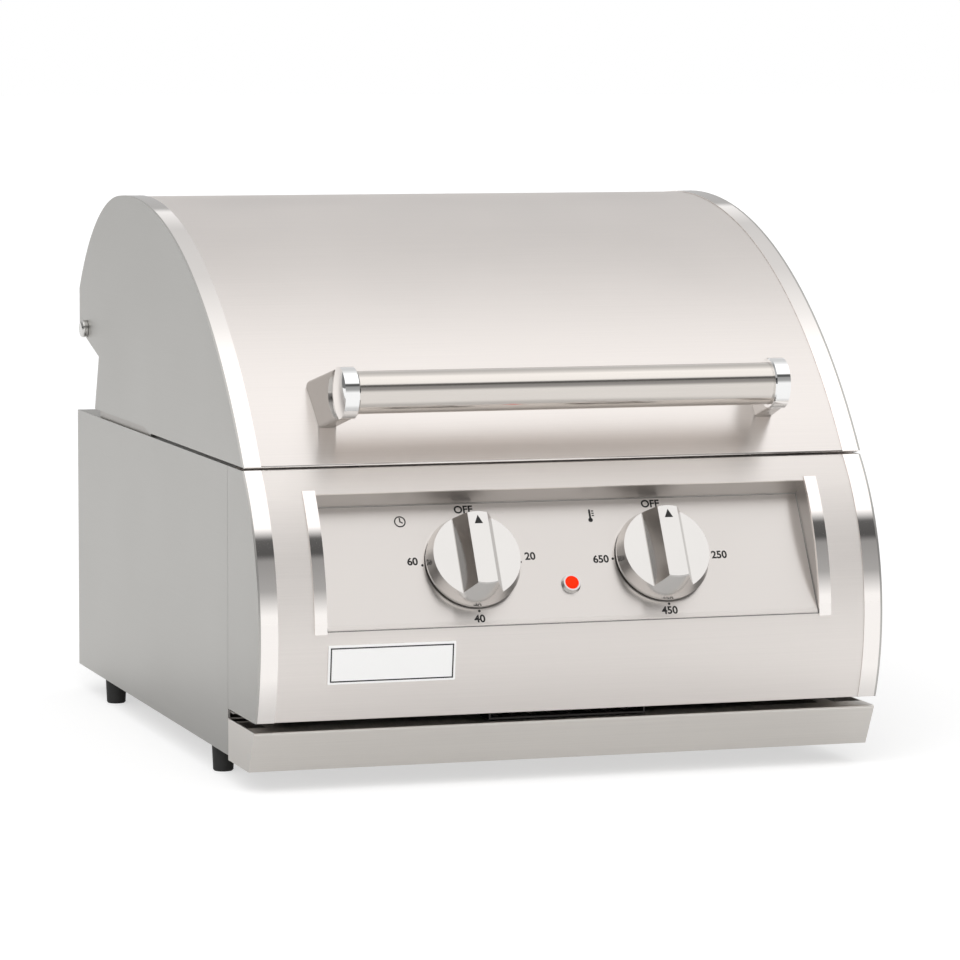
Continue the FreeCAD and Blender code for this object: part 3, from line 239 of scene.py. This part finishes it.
# ==== sheet-steel casing ====
# The base is folded from stainless sheet: two side panels, a cheek in front of each, a back
# panel with its vents and a deck. Their brushed grain runs from front to back.
cloud_scale = 11.0                          # of the faint clouds that handling leaves on steel
cloud_blur = 2.5                            # how much they change the roughness
contrast = 8                                # of streaks and clouds, between the two shades
shade_range = (0.88, 1.12)


def steel(
    name, colour, roughness, grain, brushed=0.0, grain_tone=0.05, grain_depth=0.000006, cloud=0.03
):
    """Stainless steel. grain is how far its streaks reach along x, y and z, in metres, and
    brushed says how much wider it blurs across them than along them."""
    material, tree = new_material(name)
    place = tree.node("ShaderNodeTexCoord", output="Object")
    stretched = tree.node(
        "ShaderNodeMapping", values={"Vector": place, "Scale": [1 / reach for reach in grain]}
    )
    streaks = tree.node(
        "ShaderNodeTexNoise", values={"Vector": stretched, "Scale": 1.0, "Detail": 2.0}
    )
    clouds = tree.node(
        "ShaderNodeTexNoise", values={"Vector": place, "Scale": cloud_scale, "Detail": 3.0}
    )
    tone = 0.5 + (streaks - 0.5) * grain_tone * contrast + (clouds - 0.5) * cloud * contrast
    low, high = ([part * shade for part in colour] + [1.0] for shade in shade_range)
    base = tree.node(
        "ShaderNodeMix", {"data_type": "RGBA"}, {"Factor": tone, 6: low, 7: high}, output=2
    )
    rough = roughness + (clouds - 0.5) * cloud * cloud_blur + (streaks - 0.5) * grain_tone
    bumps = tree.node(
        "ShaderNodeBump", values={"Strength": 1.0, "Distance": grain_depth, "Height": streaks}
    )
    shader = tree.node(
        "ShaderNodeBsdfPrincipled",
        values={
            "Base Color": base, "Metallic": 1.0, "Roughness": rough, "Normal": bumps,
            "Anisotropic": brushed, "Anisotropic Rotation": 0.25,
        },
    )
    tree.node("ShaderNodeOutputMaterial", values={"Surface": shader})
    return material


def dress(material, *names):
    """Gives CAD nodes their finish."""
    for name in names:
        slots = nodes[name].data.materials
        for k in range(len(slots)):
            slots[k] = material


def both_sides(name):
    return name + "_left", name + "_right"


def softened(name, body, material, rounding, shortest, where=lambda spot: True):
    """A copy of a CAD node with its long sharp edges rounded, which stands for the node."""
    shape = bmesh.new()
    shape.from_mesh(nodes[name].data)
    bmesh.ops.remove_doubles(shape, verts=shape.verts, dist=0.000001)
    bmesh.ops.dissolve_limit(shape, angle_limit=flat_turn, verts=shape.verts, edges=shape.edges)
    edges = [
        edge for edge in shape.edges
        if edge.calc_length() > shortest and edge.calc_face_angle() > sharp_turn
        and all(where(vertex.co) for vertex in edge.verts)
        and all(face.normal.y < 0.5 for face in edge.link_faces)
    ]
    bmesh.ops.bevel(
        shape, geom=edges, offset=rounding, offset_type="OFFSET", segments=5, profile=0.5,
        affect="EDGES", material=-1,
    )
    rough_piece = mesh_object("rough_" + name, shape, material, smooth=True)
    rough_piece.data.set_sharp_from_angle(angle=sharp_turn)
    even = rough_piece.modifiers.new("even_shading", "WEIGHTED_NORMAL")
    even.keep_sharp = True
    seen_piece = rough_piece.evaluated_get(bpy.context.evaluated_depsgraph_get())
    mesh = bpy.data.meshes.new_from_object(seen_piece)
    bpy.data.objects.remove(rough_piece)
    mesh.use_auto_texspace = False
    mesh.texspace_location = grain_pole
    mesh.texspace_size = (1, 1, 1)
    piece = bpy.data.objects.new("soft_" + name, mesh)
    scene.collection.objects.link(piece)
    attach(piece, body)
    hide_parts(name)
    return piece


flat_turn = math.radians(0.5)
sharp_turn = math.radians(30)
grain_pole = (0, 50, 0)                     # so far off that the blur lies square to the grain
grain_long = 0.12
grain_fine = 0.0005
casing_grain = (grain_fine, grain_long, grain_fine)
casing_steel = steel("casing_steel", (0.53, 0.52, 0.497), 0.4, casing_grain)
dress(casing_steel, *both_sides("side_panel"), *both_sides("front_cheek"), "back_panel", "top_deck")


# ==== fascia and control panel ====
# The fascia is one sheet that bulges towards the cook, brushed from side to side. The dial plate
# is set into it at a slant under a narrow roof, between two cheeks.
front_grain = (grain_long, grain_fine, grain_fine)
hood_steel = steel("hood_steel", (0.83, 0.782, 0.75), 0.30, front_grain, 0.8, 0.04, 0.000003)
front_steel = steel("front_steel", (0.94, 0.889, 0.851), 0.42, front_grain, 0.8, 0.04, 0.000003)
plate_steel = steel("plate_steel", (0.84, 0.795, 0.761), 0.28, front_grain, 0.8, 0.008, 0.0, 0.008)
# A darker, duller steel than the plate's: painted shade for the recess's roof and cheeks.
recess_shade_steel = steel("recess_shade_steel", (0.56, 0.535, 0.514), 0.4, front_grain, 0.0, 0.02, 0.0000005)
softened("fascia", "base", front_steel, 0.0005, 0.02)
dials = {
    joint["child"]: Vector(joint["pos_m"])
    for joint in frame["joints"] if joint["child"].endswith("dial")
}
plate_out = -Vector(next(joint["axis"] for joint in frame["joints"] if joint["child"] in dials))
facing_cook = 0.7                           # of a face's lean towards the cook: less is roof or cheek
recess = softened("control_panel", "base", plate_steel, 0.0004, 0.02)
# The faces that don't turn to the cook, the roof and the cheeks, take the darker steel as painted
# shade.
recess.data.materials.append(recess_shade_steel)
for face in recess.data.polygons:
    face.material_index = int(face.normal.dot(plate_out) < facing_cook)


# ==== polished trim ====
# Bright strips of thin polished stainless steel, bent to the fascia's curve, cover its welded ends
# and the ends of the recess.
polished = steel("polished_steel", (0.95, 0.91, 0.88), 0.06, front_grain, 0.0, 0.01, 0.0, 0.02)
dress(polished, *both_sides("fascia_band"), *both_sides("recess_trim"))


# ==== name plate ====
# A flat metal plate with a white enamel face and a thin black line printed round its edge. It is
# fixed low on the fascia's left, under the dial plate, and is left bare.
speck_blur = 0.1                            # how much the specks change the roughness
speck_depth = 0.0001


def painted(name, colour, roughness, speckle=0.06, fine=900.0):
    """Paint, enamel or moulded plastic with a slight unevenness."""
    material, tree = new_material(name)
    place = tree.node("ShaderNodeTexCoord", output="Object")
    specks = tree.node("ShaderNodeTexNoise", values={"Vector": place, "Scale": fine, "Detail": 3.0})
    low, high = ([part * shade for part in colour] + [1.0] for shade in (1 - speckle, 1 + speckle))
    base = tree.node(
        "ShaderNodeMix", {"data_type": "RGBA"}, {"Factor": specks, 6: low, 7: high}, output=2
    )
    rough = roughness + (specks - 0.5) * speck_blur
    bumps = tree.node(
        "ShaderNodeBump", values={"Strength": 0.3, "Distance": speck_depth, "Height": specks}
    )
    shader = tree.node(
        "ShaderNodeBsdfPrincipled", values={"Base Color": base, "Roughness": rough, "Normal": bumps}
    )
    tree.node("ShaderNodeOutputMaterial", values={"Surface": shader})
    return material


def lying(spot, out):
    """Matrix of a flat drawing on a face that turns out: x is across and y up the slope."""
    turned = Matrix((Vector((1, 0, 0)), out.cross(Vector((1, 0, 0))), out)).transposed()
    return Matrix.Translation(spot) @ turned.to_4x4()


def raised_print(shape, faces):
    """Gives flat printing its thickness."""
    grown = bmesh.ops.extrude_face_region(shape, geom=faces)
    lifted = [part for part in grown["geom"] if isinstance(part, bmesh.types.BMVert)]
    bmesh.ops.translate(shape, verts=lifted, vec=(0, 0, ink_thick))
    bmesh.ops.recalc_face_normals(shape, faces=shape.faces)


ink_thick = 0.0001
badge_margin = 0.0015                       # from the plate's edge to the line
badge_line = 0.0013
dress(painted("badge_enamel", (0.985, 0.98, 0.97), 0.3, 0.01), "badge_plate")
plate = nodes["badge_plate"].data
widest = max(plate.polygons, key=lambda face: face.area)
badge_out = widest.normal.copy()
corners = [
    plate.vertices[k].co for face in plate.polygons if face.normal.dot(badge_out) > 0.999
    for k in face.vertices
]
badge_centre = sum(corners, Vector()) / len(corners)
badge_half = (corners[0] - badge_centre).length
badge_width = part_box("badge_plate")[1].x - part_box("badge_plate")[0].x
badge_height = 2 * math.sqrt(badge_half ** 2 - badge_width ** 2 / 4)
shape = bmesh.new()
bmesh.ops.create_grid(shape, x_segments=1, y_segments=1, size=0.5)
line_size = (badge_width - 2 * badge_margin, badge_height - 2 * badge_margin, 1)
bmesh.ops.scale(shape, verts=shape.verts, vec=line_size)
middle = shape.faces[:]
bmesh.ops.inset_region(shape, faces=middle, thickness=badge_line, use_boundary=True)
bmesh.ops.delete(shape, geom=middle, context="FACES")
raised_print(shape, shape.faces[:])
bmesh.ops.transform(shape, matrix=lying(badge_centre, badge_out), verts=shape.verts)
ink = painted("black_ink", (0.012, 0.0115, 0.011), 0.5, 0.3)
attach(mesh_object("badge_line", shape, ink), "base")


# ==== dial plate markings ====
# Black printing round each dial: a dot and a number at each quarter turn, OFF at the top, and a
# small clock or thermometer that says what the dial sets.
letter_height = 0.0056
letter_weight = 0.00022                     # how much bolder than the plain letters
dot_reach = 0.0367
dot_size = 0.0019


def printed_word(shape, words, across, up):
    """Bold flat letters, centred on a place and added to a shape."""
    curve = bpy.data.curves.new(words, "FONT")
    curve.body = words
    curve.size = letter_height / 0.7
    curve.align_x = "CENTER"
    curve.align_y = "CENTER"
    curve.offset = letter_weight
    curve.extrude = ink_thick / 2
    letters = bpy.data.objects.new(words, curve)
    mesh = bpy.data.meshes.new_from_object(letters)
    mesh.transform(Matrix.Translation((across, up, ink_thick / 2)))
    shape.from_mesh(mesh)
    bpy.data.objects.remove(letters)
    bpy.data.meshes.remove(mesh)


def printed_dot(shape, across, up, size):
    """A round dot, added to a shape."""
    bmesh.ops.create_cone(
        shape, cap_ends=True, segments=32, radius1=size / 2, radius2=size / 2, depth=ink_thick,
        matrix=Matrix.Translation((across, up, ink_thick / 2)),
    )


def printed_bar(shape, across, up, length, width, turn=0.0):
    """A straight stroke from a place, turned from upright in degrees, added to a shape."""
    lean = Matrix.Rotation(-math.radians(turn), 4, "Z")
    placed = Matrix.Translation((across, up, ink_thick / 2)) @ lean
    sized = Matrix.Translation((0, length / 2, 0)) @ Matrix.Diagonal((width, length, ink_thick, 1))
    bmesh.ops.create_cube(shape, size=1, matrix=placed @ sized)


def printed_ring(shape, across, up, size, width):
    """A round line, added to a shape."""
    ring = bmesh.new()
    bmesh.ops.create_circle(ring, cap_ends=True, segments=48, radius=size / 2)
    middle = ring.faces[:]
    bmesh.ops.inset_region(ring, faces=middle, thickness=width, use_boundary=True)
    bmesh.ops.delete(ring, geom=middle, context="FACES")
    raised_print(ring, ring.faces[:])
    bmesh.ops.translate(ring, verts=ring.verts, vec=(across, up, 0))
    mesh = bpy.data.meshes.new("ring")
    ring.to_mesh(mesh)
    ring.free()
    shape.from_mesh(mesh)
    bpy.data.meshes.remove(mesh)


def markings(name, dial, shape, words):
    """The printing round one dial: its sign, its words and its three dots, as one piece."""
    for word, across, up in words:
        printed_word(shape, word, across, up)
    for across, up in ((-dot_reach, 0), (dot_reach, 0), (0, -dot_reach)):
        printed_dot(shape, across, up, dot_size)
    bmesh.ops.transform(shape, matrix=lying(dials[dial], plate_out), verts=shape.verts)
    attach(mesh_object(name, shape, ink), "base")


plate_foot = -0.0487                        # the plate's lower edge, below its dials
plate_head = 0.0473
plate_half = 0.1853
# Thin dark strips along the plate's lower and upper edges and both cheeks: painted shadow of the
# joint gaps.
joint_shadow_width = 0.0006
joints = bmesh.new()
middle = (dials["timer_dial"] + dials["thermostat_dial"]) / 2
for up in (plate_foot + joint_shadow_width / 2, plate_head - joint_shadow_width / 2):
    printed_bar(joints, -plate_half, up, 2 * plate_half, joint_shadow_width, 90)
for across in (-plate_half + joint_shadow_width / 2, plate_half - joint_shadow_width / 2):
    printed_bar(joints, across, plate_foot, plate_head - plate_foot, joint_shadow_width)
bmesh.ops.transform(joints, matrix=lying(middle, plate_out), verts=joints.verts)
joint_shadow_paint = painted("joint_shadow_paint", (0.13, 0.125, 0.12), 0.6)
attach(mesh_object("plate_joint_shadows", joints, joint_shadow_paint), "base")

sign_stroke = 0.0009
clock = bmesh.new()
clock_at = (-0.0484, 0.0343)
printed_ring(clock, *clock_at, 0.0086, sign_stroke)
printed_bar(clock, *clock_at, 0.0031, sign_stroke)
printed_bar(clock, *clock_at, 0.0023, sign_stroke, 120)
printed_dot(clock, *clock_at, 0.0011)
markings("timer_markings", "timer_dial", clock, (
    ("OFF", 0.0, 0.042), ("20", 0.0445, 0.004), ("40", -0.0005, -0.0428), ("60", -0.0437, 0.0029),
))

gauge = bmesh.new()
gauge_at = (-0.0484, 0.0310)
printed_dot(gauge, *gauge_at, 0.0034)
printed_bar(gauge, *gauge_at, 0.0076, 0.0015)
printed_dot(gauge, gauge_at[0], gauge_at[1] + 0.0076, 0.0015)
for rise in (0.0034, 0.0052, 0.0070):
    printed_bar(gauge, gauge_at[0] + 0.0014, gauge_at[1] + rise, 0.0017, sign_stroke, 90)
markings("thermostat_markings", "thermostat_dial", gauge, (
    ("OFF", -0.001, 0.0421), ("250", 0.045, 0.0001), ("450", -0.0003, -0.0419),
    ("650", -0.0458, -0.0002),
))


# ==== indicator lamp ====
# A red plastic lens in a chromed bezel, set in the dial plate and held from behind by the lamp's
# own body.
lens = painted("lamp_red", (0.9, 0.02, 0.002), 0.3, 0.03)
lens_shader = lens.node_tree.nodes["Principled BSDF"]
# The lens is given a faint red glow of its own: painted light, with the lamp off and the dials at
# OFF.
lens_shader.inputs["Emission Color"].default_value = (1.0, 0.02, 0.0, 1)
lens_shader.inputs["Emission Strength"].default_value = 0.6
lens_shader.inputs["Specular IOR Level"].default_value = 0.1
dress(lens, "lamp_lens")
chrome = steel("chrome", (0.93, 0.93, 0.925), 0.03, (1.0, 1.0, 1.0), 0.0, 0.0, 0.0, 0.01)
bezel_chrome = steel("bezel_chrome", (0.62, 0.62, 0.61), 0.08, (1.0, 1.0, 1.0), 0.0, 0.0, 0.0, 0.01)
dress(bezel_chrome, "lamp_bezel")


# ==== dials ====
# Two die-cast knobs with a raised grip, plated with satin nickel and pushed on to the shafts of
# the timer and the thermostat. Each has a black pointer printed at its top.
knob_steel = steel("knob_steel", (0.70, 0.68, 0.66), 0.14, (0.03, 0.03, 0.03), 0.0, 0.03, 0.0)
dress(knob_steel, "timer_knob", "thermostat_knob")
pointer_half = 0.0031
pointer_low = 0.0183
pointer_high = 0.0248
knob_height = 0.030
for dial, centre in dials.items():
    shape = bmesh.new()
    corners = ((-pointer_half, pointer_low), (pointer_half, pointer_low), (0, pointer_high))
    shape.faces.new([shape.verts.new((x, y, 0)) for x, y in corners])
    raised_print(shape, shape.faces[:])
    knob_face = lying(centre + plate_out * knob_height, plate_out)
    bmesh.ops.transform(shape, matrix=knob_face, verts=shape.verts)
    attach(mesh_object(dial.replace("dial", "pointer"), shape, ink), dial)


# ==== drip tray ====
# A folded stainless front as wide as the base closes a shallow pan, whose rims slide in two
# runners. The front's upper edge is rounded.
tray_steel = steel("tray_steel", (0.85, 0.815, 0.772), 0.36, front_grain)
dress(tray_steel, "tray_pan")
tray_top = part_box("tray_front")[1].z - 0.0001
tray_front = softened(
    "tray_front", "drip_tray", tray_steel, 0.0025, 0.2, lambda spot: spot.z > tray_top
)


# ==== firebox, element and grids ====
# Inside are a welded firebox of stainless sheet, a bent sheathed element that lies on two bars,
# and two grids of rods welded across flat bars, which lie loose on the firebox's ledges.
inner_steel = steel("inner_steel", (0.52, 0.50, 0.475), 0.45, front_grain, 0.0, 0.06)
dress(
    inner_steel, "firebox_liner", "grease_funnel", "element_supports", "front_bulkhead", "base_floor",
    "tray_runners", "hood_liner", *both_sides("hinge_bracket"),
)
# The intake louvre's steel is made almost black: painted shade of the gap between fascia and drip
# tray.
dress(steel("louvre_shade_steel", (0.05, 0.048, 0.046), 0.45, front_grain), "intake_louvre")
grid_steel = steel("grid_steel", (0.62, 0.60, 0.575), 0.28, casing_grain)
dress(grid_steel, *both_sides("cooking_grid"))
sheath = steel("element_sheath", (0.13, 0.125, 0.12), 0.5, (0.01, 0.01, 0.01), 0.0, 0.12)
dress(sheath, "heating_element")
dress(steel("bulb_copper", (0.75, 0.42, 0.28), 0.35, (0.01, 0.01, 0.01)), "thermostat_bulb")
dress(painted("ceramic", (0.80, 0.77, 0.70), 0.5), "element_bushings", "terminal_block")


# ==== controls behind the panel ====
# The timer and the thermostat have moulded black bodies, held behind the dial plate by flat nuts.
# The lamp's body is between them, and the nylon cord gland sits in the back panel.
dress(painted("black_plastic", (0.035, 0.034, 0.033), 0.45, 0.1),
      "timer_body", "thermostat_body", "lamp_body", "cord_gland")


# ==== feet and buffers ====
# Moulded rubber feet stand under the side panels' flanges, each held by a screw that comes down
# through the flange. Two buffers of silicone rubber on the deck take the hood when it is shut.
dress(painted("rubber", (0.022, 0.022, 0.021), 0.55, 0.2), "rubber_feet")
dress(painted("silicone", (0.11, 0.105, 0.10), 0.55, 0.1), "hood_buffers")


# ==== hood ====
# A rolled skin, brushed from side to side, between two side plates, with polished bands over its
# ends. A bright bead runs along its front lower edge, and it turns on two pivot bolts.
softened("hood_skin", "hood", hood_steel, 0.0005, 0.2)
hem_low, hem_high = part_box("hood_skin")
hem_round = 0.001
hem_drop = 0.0003                           # of its middle below the skin's edge
hem_place = Matrix.Translation((0, hem_low.y + hem_round, hem_low.z - hem_drop))
shape = bmesh.new()
bmesh.ops.create_cone(
    shape, cap_ends=True, segments=16, radius1=hem_round, radius2=hem_round,
    depth=hem_high.x - hem_low.x, matrix=hem_place @ Matrix.Rotation(math.pi / 2, 4, "Y"),
)
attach(mesh_object("hood_hem", shape, polished, smooth=True), "hood")
dress(casing_steel, *both_sides("hood_side"))
dress(polished, *both_sides("hood_band"))


# ==== handle ====
# A polished tube held in two chromed caps. Its satin arms have softened edges and are bolted
# through the hood's skin.
tube_steel = steel("tube_steel", (0.725, 0.682, 0.64), 0.14, front_grain, 0.0, 0.03, 0.000002)
arm_steel = steel("arm_steel", (0.60, 0.575, 0.55), 0.26, casing_grain)
dress(tube_steel, "handle_tube")
for name in both_sides("handle_bracket"):
    softened(name, "hood", arm_steel, 0.0016, 0.0012)
dress(chrome, *both_sides("handle_cap"))


# ==== fasteners ====
# Zinc-plated screws, bolts, washers and nuts hold the back panel, the feet, the handle, the hinge
# and the controls. The dials' shafts have the same finish.
zinc = steel("zinc", (0.68, 0.67, 0.65), 0.25, (0.004, 0.004, 0.004), 0.0, 0.04)
dress(
    zinc, "handle_bolts", "pivot_bolts", "pivot_washers", "pivot_nuts", "back_screws", "foot_screws",
    "control_nuts", "timer_shaft", "thermostat_shaft",
)
